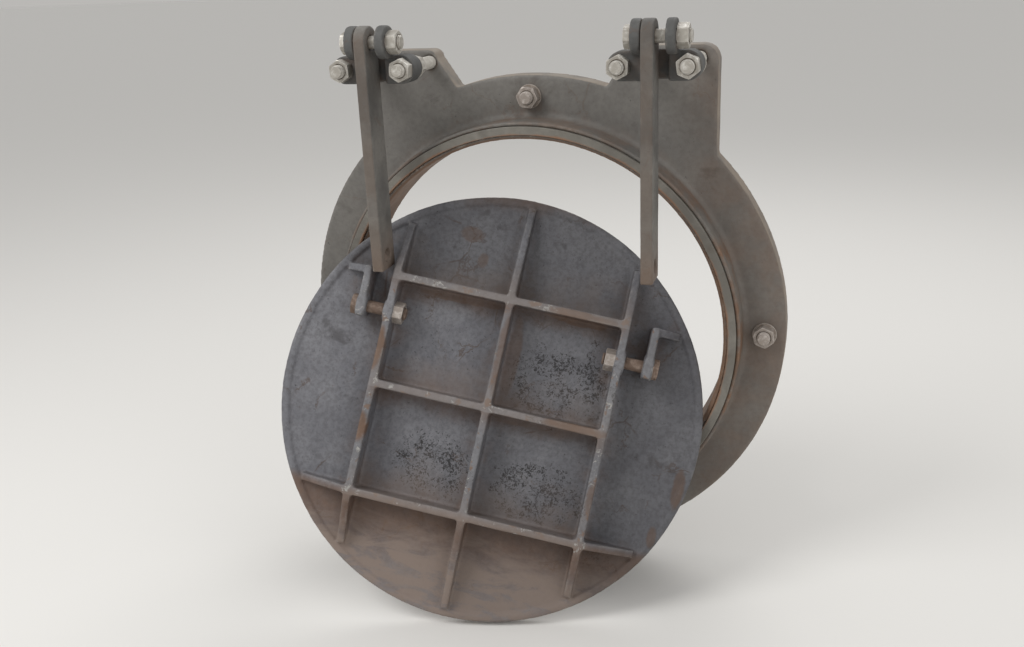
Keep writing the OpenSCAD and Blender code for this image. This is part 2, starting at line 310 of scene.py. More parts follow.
def tint(tree, mask, under, over):
    node = addNode(tree, "Mix", data_type="RGBA")
    for index, value in ((0, mask), (6, under), (7, over)):
        if isinstance(value, bpy.types.NodeSocket):
            tree.links.new(value, node.inputs[index])
        else:
            node.inputs[index].default_value = value
    return node.outputs[2]


def noise(tree, where, scale, detail=4.0, rough=0.55, twist=0.0):
    wires = {"Vector": where, "Scale": scale, "Detail": detail, "Roughness": rough, "Distortion": twist}
    return addNode(tree, "TexNoise", wires).outputs[0]


def colour(red, green, blue):
    # a colour written as 0 to 255 on screen, as the linear value that Blender takes
    parts = [value / 255 for value in (red, green, blue)]
    return tuple(p / 12.92 if p <= 0.04045 else ((p + 0.055) / 1.055) ** 2.4 for p in parts) + (1.0,)


def startGroup(name, inputs, outputs):
    group = bpy.data.node_groups.new(name, "ShaderNodeTree")
    for label, value in inputs.items():
        kind = "NodeSocketVector" if isinstance(value, tuple) else "NodeSocketFloat"
        group.interface.new_socket(name=label, in_out="INPUT", socket_type=kind).default_value = value
    for label in outputs:
        group.interface.new_socket(name=label, in_out="OUTPUT", socket_type="NodeSocketFloat")
    enter = group.nodes.new("NodeGroupInput")
    leave = group.nodes.new("NodeGroupOutput")
    return group, enter.outputs, leave.inputs


def useGroup(tree, group, **wires):
    node = tree.nodes.new("ShaderNodeGroup")
    node.node_tree = group
    for key, value in wires.items():
        if isinstance(value, bpy.types.NodeSocket):
            tree.links.new(value, node.inputs[key])
        else:
            node.inputs[key].default_value = value
    return node.outputs[0]


nearness = {"samples": 8, "edge": (0.97, 0.5), "corner": (0.95, 0.35)}


def makeChippedEdge():
    # paint knocked off outer edges, in runs of uneven length
    inputs = {"where": (0, 0, 0), "reach": 0.005, "amount": 0.5, "scale": 60.0}
    group, enter, leave = startGroup("chippedEdge", inputs, ["mask"])
    reach = {"Distance": enter["reach"]}
    inside = addNode(group, "AmbientOcclusion", reach, inside=True, samples=nearness["samples"])
    edge = fade(group, inside.outputs["AO"], *nearness["edge"])
    broken = noise(group, enter["where"], enter["scale"], 6.0, 0.65)
    wanted = plus(group, times(group, enter["amount"], 0.9), broken)
    lifted = times(group, edge, fade(group, wanted, 0.78, 0.98))
    group.links.new(lifted, leave["mask"])
    return group


def makeSheltered():
    # how deep a place lies in a corner
    group, enter, leave = startGroup("sheltered", {"reach": 0.03, "strength": 1.0}, ["mask"])
    around = addNode(group, "AmbientOcclusion", {"Distance": enter["reach"]}, samples=nearness["samples"])
    corner = fade(group, around.outputs["AO"], *nearness["corner"])
    group.links.new(maths(group, "MULTIPLY", corner, enter["strength"], True), leave["mask"])
    return group


def makeBlotches():
    # soft or hard patches with ragged borders
    inputs = {"where": (0, 0, 0), "scale": 8.0, "share": 0.5, "border": 0.1}
    group, enter, leave = startGroup("blotches", inputs, ["mask"])
    broad = noise(group, enter["where"], enter["scale"], 8.0, 0.62, 0.4)
    least = minus(group, 1.0, enter["share"])
    most = plus(group, least, enter["border"])
    group.links.new(fade(group, broad, least, most), leave["mask"])
    return group


def makeFlecks():
    # small black flakes, denser where the amount is high
    inputs = {"where": (0, 0, 0), "scale": 300.0, "amount": 0.5}
    group, enter, leave = startGroup("flecks", inputs, ["mask"])
    fine = noise(group, enter["where"], enter["scale"], 3.0, 0.7, 0.8)
    patchy = fade(group, noise(group, enter["where"], 40.0, 4.0), 0.35, 0.6, 0.10, 0.21)
    level = plus(group, times(group, enter["amount"], patchy), fine)
    group.links.new(fade(group, level, 0.69, 0.74), leave["mask"])
    return group


def makeCracks():
    # thin broken lines where the paint has split
    group, enter, leave = startGroup("cracks", {"where": (0, 0, 0), "scale": 12.0}, ["mask"])
    shift = times(group, noise(group, enter["where"], 34.0, 5.0, 0.6), 0.05)
    bent = addNode(group, "VectorMath", {0: enter["where"], 1: shift}, operation="ADD").outputs[0]
    wires = {"Vector": bent, "Scale": enter["scale"]}
    cell = addNode(group, "TexVoronoi", wires, feature="DISTANCE_TO_EDGE").outputs["Distance"]
    broken = fade(group, noise(group, enter["where"], 16.0, 5.0), 0.52, 0.60)
    group.links.new(times(group, fade(group, cell, 0.022, 0.004), broken), leave["mask"])
    return group


def makeOval():
    # soft patch round a middle given in X and Z, ragged gives its border
    inputs = {"where": (0, 0, 0), "ragged": 0.0, "x": 0.0, "z": 0.0, "wide": 0.05, "high": 0.05,
              "strength": 1.0}
    group, enter, leave = startGroup("oval", inputs, ["mask"])
    x, y, z = split(group, enter["where"])
    across = ratio(group, minus(group, x, enter["x"]), enter["wide"])
    up = ratio(group, minus(group, z, enter["z"]), enter["high"])
    far = plus(group, times(group, across, across), times(group, up, up))
    near = fade(group, plus(group, far, enter["ragged"]), 2.3, 1.3)
    group.links.new(times(group, near, enter["strength"]), leave["mask"])
    return group


def drawnOut(tree, where, x, z):
    # places squeezed along X and Z, so that what is drawn there comes out longer
    wanted = addNode(tree, "CombineXYZ", {"X": x, "Y": 1.0, "Z": z}).outputs[0]
    return addNode(tree, "VectorMath", {0: where, 1: wanted}, operation="MULTIPLY").outputs[0]


def fromAxis(tree, x, z):
    # distance from the opening's axis
    flat = addNode(tree, "CombineXYZ", {"X": x, "Y": 0.0, "Z": z}).outputs[0]
    return addNode(tree, "VectorMath", {0: flat}, operation="LENGTH").outputs["Value"]


def makeRuns():
    # marks drawn out downwards by water
    inputs = {"where": (0, 0, 0), "scale": 60.0, "stretch": 0.08, "share": 0.5}
    group, enter, leave = startGroup("runs", inputs, ["mask"])
    marks = noise(group, drawnOut(group, enter["where"], 1.0, enter["stretch"]), enter["scale"], 5.0, 0.6)
    least = minus(group, 1.0, enter["share"])
    group.links.new(fade(group, marks, least, plus(group, least, 0.22)), leave["mask"])
    return group


def makeCastSkin():
    # height of sand-cast skin with pits and scale
    inputs = {"where": (0, 0, 0), "grain": 420.0, "pits": 90.0}
    group, enter, leave = startGroup("castSkin", inputs, ["height"])
    grain = noise(group, enter["where"], enter["grain"], 5.0, 0.7)
    lumps = noise(group, enter["where"], enter["pits"], 4.0, 0.6)
    pits = fade(group, noise(group, enter["where"], times(group, enter["pits"], 1.9), 2.0), 0.62, 0.74)
    height = plus(group, times(group, grain, 0.35), times(group, lumps, 0.65))
    group.links.new(minus(group, height, times(group, pits, 0.5)), leave["height"])
    return group


chippedEdge = makeChippedEdge()
sheltered = makeSheltered()
blotches = makeBlotches()
flecks = makeFlecks()
cracks = makeCracks()
oval = makeOval()
runs = makeRuns()
castSkin = makeCastSkin()


def patches(tree, where, ragged, places):
    # the strongest of several ovals, each with its middle, half width, half height and strength
    mask = 0.0
    for x, z, wide, high, strength in places:
        patch = useGroup(tree, oval, where=where, ragged=ragged, x=x, z=z, wide=wide, high=high,
                         strength=strength)
        mask = larger(tree, mask, patch)
    return mask


def startMaterial(name):
    material = bpy.data.materials.new(name)
    material.use_nodes = True
    tree = material.node_tree
    shader = tree.nodes["Principled BSDF"]
    coordinates = tree.nodes.new("ShaderNodeTexCoord")
    return material, tree, shader, coordinates.outputs["Object"], coordinates.outputs["Normal"]


iron = {
    "cloudShare": 0.62, "cloudBorder": 0.3,
    "darkFiner": 2.3, "darkBorder": 0.12, "darkDepth": 0.75,
    "runScale": 70.0, "runStretch": 0.1, "runShare": 0.5, "runDepth": 0.25,
    "grimeScale": 130.0, "crackScale": 13.0, "fleckScale": 280.0, "fleckDepth": 0.85,
    "cornerScale": 26.0, "rustScale": 55.0, "edgeScale": 45.0, "edgeDent": 0.6, "bareScale": 80.0,
    "roughScale": 40.0, "smoother": -0.08, "rougher": 0.1, "specular": 0.35,
    "grain": 420.0, "pits": 95.0, "bump": 0.35, "bumpDeep": 0.0012,
}


def paintedIron(name, finish, places=None, place=Matrix()):
    # old dark paint over cast iron: clouded, flecked black, rusty and dusty where places says, and darkened
    # toward black as painted shade where places gives it
    material, tree, shader, where, facing = startMaterial(name)
    lie = {"Location": place.translation, "Rotation": place.to_euler()}
    where = addNode(tree, "Mapping", dict(lie, Vector=where), vector_type="TEXTURE").outputs[0]
    clouds = useGroup(tree, blotches, where=where, scale=finish["cloudScale"], share=iron["cloudShare"],
                      border=iron["cloudBorder"])
    shade = tint(tree, clouds, finish["paint"], finish["paintPale"])
    dark = useGroup(tree, blotches, where=where, scale=finish["cloudScale"] * iron["darkFiner"],
                    share=finish["darkShare"], border=iron["darkBorder"])
    shade = tint(tree, times(tree, dark, iron["darkDepth"]), shade, finish["paintDark"])
    drawn = useGroup(tree, runs, where=where, scale=iron["runScale"], stretch=iron["runStretch"],
                     share=iron["runShare"])
    shade = tint(tree, times(tree, drawn, iron["runDepth"]), shade, finish["paintPale"])
    grime = noise(tree, where, iron["grimeScale"], 6.0, 0.7)
    shade = tint(tree, fade(tree, grime, 0.60, 0.36, 0.0, finish["grime"]), shade, finish["paintDark"])
    cracked = useGroup(tree, cracks, where=where, scale=iron["crackScale"])
    shade = tint(tree, times(tree, cracked, finish["crackDepth"]), shade, finish["rustDark"])
    masks = places(tree, where, facing) if places else {}
    bits = useGroup(tree, flecks, where=where, scale=iron["fleckScale"],
                    amount=masks.get("flecks", finish["fleckAmount"]))
    shade = tint(tree, times(tree, bits, iron["fleckDepth"]), shade, finish["black"])
    corner = useGroup(tree, sheltered, reach=finish["cornerReach"], strength=1.0)
    uneven = noise(tree, where, iron["cornerScale"], 6.0, 0.65)
    rust = times(tree, times(tree, corner, fade(tree, uneven, 0.40, 0.62)), finish["cornerRust"])
    # on the cover the rust mask also carries painted shade under the level ribs
    if "rust" in masks:
        rust = larger(tree, rust, masks["rust"])
    uneven = noise(tree, where, iron["rustScale"], 5.0)
    shade = tint(tree, rust, shade, tint(tree, uneven, finish["rustDark"], finish["rustPale"]))
    if "dust" in masks:
        shade = tint(tree, masks["dust"], shade, finish["dust"])
    # painted shade: where places gives it, the colour is darkened toward black
    if "dim" in masks:
        shade = tint(tree, masks["dim"], shade, finish["black"])
    edge = useGroup(tree, chippedEdge, where=where, reach=finish["edgeReach"], amount=finish["edgeAmount"],
                    scale=iron["edgeScale"])
    if "worn" in masks:
        edge = larger(tree, edge, masks["worn"])
    bare = tint(tree, noise(tree, where, iron["bareScale"], 4.0), finish["bare"], finish["barePale"])
    tree.links.new(tint(tree, edge, shade, bare), shader.inputs["Base Color"])
    least, most = finish["roughness"] + iron["smoother"], finish["roughness"] + iron["rougher"]
    rough = fade(tree, noise(tree, where, iron["roughScale"], 5.0), 0.3, 0.7, least, most)
    tree.links.new(rough, shader.inputs["Roughness"])
    skin = useGroup(tree, castSkin, where=where, grain=iron["grain"], pits=iron["pits"])
    lifted = minus(tree, skin, times(tree, edge, iron["edgeDent"]))
    bump = {"Strength": iron["bump"], "Distance": iron["bumpDeep"], "Height": lifted}
    tree.links.new(addNode(tree, "Bump", bump).outputs[0], shader.inputs["Normal"])
    shader.inputs["Specular IOR Level"].default_value = iron["specular"]
    return material


coverCast = {
    "stands": ["cover_plate", "cover_upright_ribs", "cover_level_ribs", "cover_lug_left",
               "cover_lug_right"],
    "turn": 13.5, "lean": 22.0, "roll": 13.5,      # as the cover lies, in degrees
    "grid": 0.0023, "soften": 5, "triangles": 190000,
    "waves": [("Swell", 0.09, 1, 0.0012), ("Scale", 0.012, 2, 0.0005)],
    "ribSpacing": 0.171, "ribHalf": 0.006, "crest": 0.060,
    "bossR": 0.018, "bossWide": 0.0165, "bossSides": 48, "lugOut": 0.016, "jawWide": 0.044,
}
coverFinish = {
    "paint": colour(105, 105, 110), "paintPale": colour(123, 123, 127), "paintDark": colour(77, 75, 77),
    "black": colour(38, 36, 36), "rustDark": colour(80, 64, 54), "rustPale": colour(122, 92, 70),
    "dust": colour(132, 117, 107), "bare": colour(116, 115, 113), "barePale": colour(190, 187, 181),
    "cloudScale": 9.0, "darkShare": 0.40, "fleckAmount": 0.2, "cornerReach": 0.04, "cornerRust": 0.5,
    "edgeReach": 0.004, "edgeAmount": 0.4, "roughness": 0.62, "grime": 0.45, "crackDepth": 0.6,
}
coverMarks = {                          # ovals: x, z, half width, half height, strength
    "speckled": [
        (0.102, 0.055, 0.088, 0.066, 1.0), (-0.066, -0.112, 0.068, 0.056, 1.0),
        (0.105, -0.116, 0.080, 0.054, 1.0), (0.215, -0.190, 0.050, 0.020, 0.7),
        (0.150, 0.100, 0.030, 0.045, 0.7), (-0.10, 0.060, 0.05, 0.05, 0.35),
    ],
    "rusted": [
        (0.040, -0.012, 0.040, 0.008, 0.6), (-0.080, 0.158, 0.090, 0.008, 0.7),
        (0.110, 0.162, 0.055, 0.008, 0.8), (0.314, -0.060, 0.009, 0.030, 0.7),
        (0.290, -0.140, 0.007, 0.016, 0.6), (-0.085, 0.262, 0.018, 0.012, 0.5),
        (-0.060, 0.225, 0.008, 0.012, 0.5), (0.018, 0.085, 0.012, 0.070, 0.5),
    ],
    "rustedRibs": [
        (-0.188, 0.056, 0.012, 0.036, 0.9), (-0.186, -0.070, 0.012, 0.022, 0.9),
        (0.190, -0.100, 0.012, 0.030, 0.6), (0.010, 0.085, 0.014, 0.070, 0.6),
        (0.140, 0.000, 0.045, 0.010, 0.9), (0.110, 0.168, 0.055, 0.008, 0.7),
    ],
    "ovalScale": 45.0, "ovalRagged": 1.6, "patchScale": 15.0, "patchShare": 0.33, "mudDrawn": 0.3,
    # below: rust with painted shade under each level rib; patch: rust; foot: painted shadow under the lowest
    # rib
    "rustAndShadeDepth": {"below": 0.55, "patch": 0.5, "foot": 0.75}, "dustAbove": 0.45,
    # strength of the painted shade on the plate's top, right side and right half
    "dim": {"top": 0.33, "rightSide": 0.36, "rightHalf": 0.14},
}
coverLimits = {                         # where a mask begins and is full, on the cover's own axes
    "front": (-0.005, -0.010),          # in Y: the back keeps only patches of rust
    "ribSide": (-0.052, -0.066), "ribShade": (-0.045, -0.025),
    "inner": (0.205, 0.175),            # in X: between the outer ribs
    "rightSide": (0.180, 0.215), "rightHalf": (-0.01, 0.03),
    "top": (0.160, 0.185),              # in Z
    # footTop and footEnd bound the painted shadow under the lowest rib
    "footTop": (-0.160, -0.178), "footEnd": (-0.300, -0.200), "mud": (-0.135, -0.205),
    "below": (1.00, 1.20),              # in shares of the level ribs' spacing
    "above": (1.0, 0.45),
}

coverTurn = (Matrix.Rotation(math.radians(coverCast["turn"]), 4, "Z")
             @ Matrix.Rotation(math.radians(-coverCast["lean"]), 4, "X")
             @ Matrix.Rotation(math.radians(coverCast["roll"]), 4, "Y"))
plateBox = cornersIn("cover_plate", coverTurn)
plateMiddle = (plateBox[0] + plateBox[1]) / 2
coverPlace = coverTurn @ Matrix.Translation((plateMiddle.x, plateBox[1].y, plateMiddle.z))
coverCast["bosses"] = []                # round the bolts' holes, in the lugs and in the outer ribs
for side, way in (("left", -1), ("right", 1)):
    low, high = cornersIn("cover_bolt_" + side, coverPlace)
    outer = (low.x if way < 0 else high.x) - way * coverCast["lugOut"]
    for x in (outer, outer - way * coverCast["jawWide"]):
        middle = Vector((x, (low.y + high.y) / 2, (low.z + high.z) / 2))
        coverCast["bosses"].append((middle, coverCast["bossR"], coverCast["bossWide"]))


def coverRustAndShade(tree, where, z, up, uneven, inner, front, spots, crest):
    # rust with painted shade below the level ribs, rust in patches, painted shadow in rust's colours at the
    # foot under the lowest rib, and rust in spots on the crests
    limits, depth = coverLimits, coverMarks["rustAndShadeDepth"]
    # rust with painted shade just under each level rib
    below = fade(tree, plus(tree, up, times(tree, uneven, 0.4)), *limits["below"])
    rust = times(tree, times(tree, below, inner), depth["below"])
    patch = useGroup(tree, blotches, where=where, scale=coverMarks["patchScale"],
                     share=coverMarks["patchShare"], border=0.10)
    rust = larger(tree, rust, times(tree, patch, depth["patch"]))
    rust = larger(tree, rust, spots)
    # painted shadow in rust's colours under the lowest rib
    foot = times(tree, fade(tree, z, *limits["footTop"]), fade(tree, z, *limits["footEnd"]))
    rust = larger(tree, rust, times(tree, times(tree, foot, front), depth["foot"]))
    spotty = fade(tree, noise(tree, where, 55.0, 5.0, 0.6), 0.58, 0.64, 0.0, 0.8)
    return larger(tree, rust, times(tree, crest, spotty))


def coverDust(tree, where, z, up, uneven, inner):
    # above the level ribs, and dried mud in waves at the foot
    above = times(tree, fade(tree, plus(tree, up, uneven), *coverLimits["above"]), inner)
    lines = noise(tree, drawnOut(tree, where, coverMarks["mudDrawn"], 1.0), 46.0, 7.0, 0.68, 0.5)
    foot = fade(tree, plus(tree, z, times(tree, lines, 0.13)), *coverLimits["mud"])
    caked = times(tree, foot, fade(tree, lines, 0.60, 0.47, 0.45, 0.9))
    return larger(tree, times(tree, above, coverMarks["dustAbove"]), caked)


def coverPaintedShade(tree, x, y, z, front):
    # painted shade: the top and right side of the plate darkened toward black, less so on the ribs
    limits, dim = coverLimits, coverMarks["dim"]
    top = fade(tree, z, *limits["top"], 0.0, dim["top"])
    right = fade(tree, x, *limits["rightSide"], 0.0, dim["rightSide"])
    half = fade(tree, x, *limits["rightHalf"], 0.0, dim["rightHalf"])
    shaded = times(tree, larger(tree, larger(tree, top, right), half), front)
    return times(tree, shaded, fade(tree, y, *limits["ribShade"], 0.5))


def coverWorn(tree, where, crest, spots):
    # paint chipped off the ribs' crests, but not where they are rusted
    knocked = fade(tree, noise(tree, where, 13.0, 3.0), 0.46, 0.60, 0.0, 0.10)
    broken = plus(tree, noise(tree, where, 95.0, 7.0, 0.75, 0.6), knocked)
    chips = fade(tree, broken, 0.64, 0.69, 0.10, 0.95)
    return times(tree, crest, times(tree, chips, minus(tree, 1.0, spots)))


def coverPlaces(tree, where, facing):
    # masks of the cover, and up, which is 0 on a level rib and 1 just below the next
    x, y, z = split(tree, where)
    spacing, half = coverCast["ribSpacing"], coverCast["ribHalf"]
    up = ratio(tree, maths(tree, "MODULO", plus(tree, z, half + 10 * spacing), spacing), spacing)
    uneven = noise(tree, where, 14.0, 6.0, 0.62, 0.3)
    front = fade(tree, y, *coverLimits["front"])
    inner = times(tree, fade(tree, maths(tree, "ABSOLUTE", x), *coverLimits["inner"]), front)
    crest = fade(tree, y, -coverCast["crest"] + 0.004, -coverCast["crest"] + 0.0005)
    ragged = times(tree, noise(tree, where, coverMarks["ovalScale"], 5.0, 0.6), coverMarks["ovalRagged"])
    spots = times(tree, patches(tree, where, ragged, coverMarks["rusted"]), front)
    rough = plus(tree, y, times(tree, uneven, -0.03))
    ribSpots = patches(tree, where, ragged, coverMarks["rustedRibs"])
    spots = larger(tree, spots, times(tree, ribSpots, fade(tree, rough, *coverLimits["ribSide"])))
    speckled = times(tree, patches(tree, where, ragged, coverMarks["speckled"]), front)
    return {
        # rust, with painted shade under the level ribs
        "rust": coverRustAndShade(tree, where, z, up, uneven, inner, front, spots, crest),
        "dust": coverDust(tree, where, z, up, uneven, inner),
        "worn": coverWorn(tree, where, crest, spots),
        "flecks": larger(tree, speckled, coverFinish["fleckAmount"]),
        "dim": coverPaintedShade(tree, x, y, z, front),
    }


coverPaint = paintedIron("coverPaint", coverFinish, coverPlaces, coverPlace)
castPiece("coverCasting", coverCast, coverPaint, place=coverPlace)


seatCast = {
    "stands": ["seat_casting"],
    "grid": 0.0027, "soften": 3, "triangles": 180000,
    "waves": [("Swell", 0.10, 1, 0.0010), ("Scale", 0.014, 2, 0.0004)],
    "boreR": 0.305, "flangeFace": -0.040,
}
seatFinish = {
    "paint": colour(108, 105, 101), "paintPale": colour(122, 119, 114), "paintDark": colour(84, 80, 76),
    "black": colour(48, 46, 45), "rustDark": colour(96, 72, 56), "rustPale": colour(140, 106, 80),
    "dust": colour(146, 134, 120), "bare": colour(136, 132, 126), "barePale": colour(170, 164, 154),
    "cloudScale": 6.0, "darkShare": 0.42, "fleckAmount": 0.1, "cornerReach": 0.03, "cornerRust": 0.4,
    "edgeReach": 0.004, "edgeAmount": 0.3, "roughness": 0.66, "grime": 0.25, "crackDepth": 0.25,
}


seatLimits = {                          # where a mask begins and is full
    "sideways": (0.75, 0.35), "back": (0.6, 0.9),       # by the way that the surface faces
    "right": (0.20, 0.32), "rim": (-0.046, -0.038),     # in X and in Y
    "bore": (0.006, 0.001), "neck": (-0.002, -0.010),   # past the bore's radius and the flange's face
}


def seatPlaces(tree, where, facing):
    # tan flange edge, brown neck, dark bore
    limits = seatLimits
    x, y, z = split(tree, where)
    out = fromAxis(tree, x, z)
    turn = split(tree, facing)
    uneven = noise(tree, where, 16.0, 6.0, 0.62)
    bore = fade(tree, out, *[seatCast["boreR"] + past for past in limits["bore"]])
    neck = fade(tree, y, *[seatCast["flangeFace"] + past for past in limits["neck"]])
    right = fade(tree, x, *limits["right"])
    brown = times(tree, neck, plus(tree, times(tree, right, 0.5), 0.35))
    brown = times(tree, brown, fade(tree, uneven, 0.38, 0.60))
    rust = larger(tree, brown, times(tree, bore, 0.85))
    back = fade(tree, turn[1], *limits["back"])
    rust = larger(tree, rust, times(tree, back, fade(tree, uneven, 0.35, 0.6, 0.25, 0.8)))
    rust = larger(tree, rust, times(tree, right, fade(tree, uneven, 0.30, 0.60, 0.08, 0.32)))
    sideways = fade(tree, maths(tree, "ABSOLUTE", turn[1]), *limits["sideways"])
    rim = times(tree, sideways, fade(tree, uneven, 0.30, 0.62))
    rim = times(tree, rim, fade(tree, y, *limits["rim"]))
    return {"rust": rust, "dust": times(tree, rim, minus(tree, 0.75, times(tree, bore, 0.75)))}


seatPaint = paintedIron("seatPaint", seatFinish, seatPlaces)
castPiece("seatCasting", seatCast, seatPaint)


ring = {"steps": 360, "edge": 0.0008, "sharpFrom": 40}
ringFinish = {
    "face": colour(110, 106, 99), "facePale": colour(130, 126, 118), "stain": colour(94, 82, 70),
    "rust": colour(142, 98, 66), "metallic": 0.15,
    "lathe": 9000.0,                    # turned grooves, in radians for each metre outwards
    "rustEdge": (0.322, 0.3165),        # in metres from the axis
}


def seatMetal(name):
    # machined face, dull tan, with rust along its inner edge
    material, tree, shader, where, facing = startMaterial(name)
    x, y, z = split(tree, where)
    out = fromAxis(tree, x, z)
    clouds = useGroup(tree, blotches, where=where, scale=18.0, share=0.6, border=0.3)
    shade = tint(tree, clouds, ringFinish["face"], ringFinish["facePale"])
    stain = useGroup(tree, blotches, where=where, scale=30.0, share=0.42, border=0.15)
    shade = tint(tree, times(tree, stain, 0.4), shade, ringFinish["stain"])
    uneven = noise(tree, where, 24.0, 6.0, 0.65)
    inner = fade(tree, plus(tree, out, times(tree, uneven, 0.012)), *ringFinish["rustEdge"])
    shade = tint(tree, times(tree, inner, 0.8), shade, ringFinish["rust"])
    tree.links.new(shade, shader.inputs["Base Color"])
    tree.links.new(fade(tree, uneven, 0.3, 0.7, 0.42, 0.62), shader.inputs["Roughness"])
    lathe = maths(tree, "SINE", times(tree, out, ringFinish["lathe"]))
    skin = useGroup(tree, castSkin, where=where, grain=600.0, pits=140.0)
    height = plus(tree, times(tree, lathe, 0.12), skin)
    bump = addNode(tree, "Bump", {"Strength": 0.25, "Distance": 0.0006, "Height": height})
    tree.links.new(bump.outputs[0], shader.inputs["Normal"])
    shader.inputs["Metallic"].default_value = ringFinish["metallic"]
    return material


def seatRing():
    low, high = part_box("seat_ring")
    outer = (high.x - low.x) / 2
    inner = min(math.hypot(v.co.x, v.co.z) for v in nodes["seat_ring"].data.vertices)
    edge = ring["edge"]
    section = [(inner, high.y), (inner, low.y + edge), (inner + edge, low.y), (outer - edge, low.y),
               (outer, low.y + edge), (outer, high.y)]
    shape = bmesh.new()
    rings = []
    for i in range(ring["steps"]):
        angle = 2 * math.pi * i / ring["steps"]
        rings.append([Vector((r * math.cos(angle), y, r * math.sin(angle))) for r, y in section])
    loft(shape, rings, closed=True)
    bmesh.ops.recalc_face_normals(shape, faces=shape.faces)
    mesh = bpy.data.meshes.new("seatRing")
    shape.to_mesh(mesh)
    shape.free()
    mesh.shade_smooth()
    mesh.set_sharp_from_angle(angle=math.radians(ring["sharpFrom"]))
    showPiece("seatRing", mesh, "root", seatMetal("seatMetal"), ["seat_ring"])


seatRing()
print("seat ring turned")


bracketCast = {
    "grid": 0.0016, "soften": 4, "triangles": 90000,
    "waves": [("Swell", 0.05, 1, 0.0008), ("Scale", 0.010, 2, 0.0003)],
}
armCast = {
    "grid": 0.0016, "soften": 3, "triangles": 90000,
    "waves": [("Swell", 0.08, 1, 0.0008), ("Scale", 0.012, 2, 0.0003)],
}
bracketFinish = dict(seatFinish, edgeAmount=0.35, darkShare=0.36, cloudScale=11.0, cornerRust=0.3,
                     paint=colour(84, 84, 83), paintPale=colour(98, 98, 96), paintDark=colour(66, 64, 62))
armFinish = dict(seatFinish, edgeAmount=0.3, darkShare=0.3, cloudScale=8.0, cornerRust=0.25,
                 paint=colour(90, 88, 85), dust=colour(98, 84, 73))
armLimits = {"front": (-0.5, -0.9), "lowEnd": (0.24, 0.12)}     # by the way it faces, and in Z


def armPlaces(tree, where, facing):
    # brown tinge down the front edge and at the lower end
    x, y, z = split(tree, where)
    front = fade(tree, split(tree, facing)[1], *armLimits["front"])
    uneven = noise(tree, where, 12.0, 6.0, 0.62)
    tinge = times(tree, front, fade(tree, uneven, 0.30, 0.60, 0.25, 0.8))
    end = fade(tree, plus(tree, z, times(tree, uneven, 0.08)), *armLimits["lowEnd"])
    return {"dust": times(tree, tinge, 0.7), "rust": times(tree, end, 0.6)}


bracketPaint = paintedIron("bracketPaint", bracketFinish)
armPaint = paintedIron("armPaint", armFinish, armPlaces)
for side in ("left", "right"):
    castPiece(side + "Bracket", dict(bracketCast, stands=["bracket_" + side]), bracketPaint)
    castPiece(side + "Arm", dict(armCast, stands=["arm_" + side]), armPaint, body=side + "_arm")


bolts = {
    "spangleScale": 120.0, "spangleShare": 0.55, "spangleBorder": 0.25,
    "stainScale": 70.0, "stainShare": 0.42, "stainBorder": 0.2, "stainDepth": 0.7,
    "cornerReach": 0.006, "cornerDepth": 0.7,
    "edgeReach": 0.0016, "edgeAmount": 0.6, "edgeScale": 200.0, "edgeDepth": 0.6,
    "roughScale": 150.0, "smoother": -0.1, "rougher": 0.12,
    "grain": 900.0, "pits": 260.0, "bump": 0.25, "bumpDeep": 0.0005,
}
zincFinish = {
    "zinc": colour(168, 163, 154), "zincPale": colour(206, 203, 196), "stain": colour(136, 122, 108),
    "roughness": 0.44, "metallic": 0.35,
}
rustyFinish = {
    "zinc": colour(106, 88, 76), "zincPale": colour(138, 121, 109), "stain": colour(74, 58, 49),
    "roughness": 0.7, "metallic": 0.15,
}
dustyFinish = dict(zincFinish, zinc=colour(148, 138, 130), zincPale=colour(186, 178, 171), metallic=0.25)


def boltMetal(name, finish):
    # galvanised or rusty steel, stained in patches and corners and rubbed pale on its edges
    material, tree, shader, where, facing = startMaterial(name)
    spangle = useGroup(tree, blotches, where=where, scale=bolts["spangleScale"], share=bolts["spangleShare"],
                       border=bolts["spangleBorder"])
    shade = tint(tree, spangle, finish["zinc"], finish["zincPale"])
    stain = useGroup(tree, blotches, where=where, scale=bolts["stainScale"], share=bolts["stainShare"],
                     border=bolts["stainBorder"])
    shade = tint(tree, times(tree, stain, bolts["stainDepth"]), shade, finish["stain"])
    corner = useGroup(tree, sheltered, reach=bolts["cornerReach"], strength=bolts["cornerDepth"])
    shade = tint(tree, corner, shade, finish["stain"])
    edge = useGroup(tree, chippedEdge, where=where, reach=bolts["edgeReach"], amount=bolts["edgeAmount"],
                    scale=bolts["edgeScale"])
    shade = tint(tree, times(tree, edge, bolts["edgeDepth"]), shade, finish["zincPale"])
    tree.links.new(shade, shader.inputs["Base Color"])
    least, most = finish["roughness"] + bolts["smoother"], finish["roughness"] + bolts["rougher"]
    rough = fade(tree, noise(tree, where, bolts["roughScale"], 4.0), 0.3, 0.7, least, most)
    tree.links.new(rough, shader.inputs["Roughness"])
    skin = useGroup(tree, castSkin, where=where, grain=bolts["grain"], pits=bolts["pits"])
    bump = {"Strength": bolts["bump"], "Distance": bolts["bumpDeep"], "Height": skin}
    tree.links.new(addNode(tree, "Bump", bump).outputs[0], shader.inputs["Normal"])
    shader.inputs["Metallic"].default_value = finish["metallic"]
    return material


zinc = boltMetal("galvanisedSteel", zincFinish)
rusty = boltMetal("rustySteel", rustyFinish)
dusty = boltMetal("dustySteel", dustyFinish)


def camel(node):
    # a piece's name from its CAD node's
    words = node.split("_")
    return words[0] + "".join(word.capitalize() for word in words[1:])


def studPlaces(node):
    # middles of the one or two studs of a node, on the wall's face
    low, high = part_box(node)
    radius = (high.z - low.z) / 2
    single = high.x - low.x < 3 * radius
    across = [(low.x + high.x) / 2] if single else [low.x + radius, high.x - radius]
    return [(x, high.y, (low.z + high.z) / 2) for x in across]


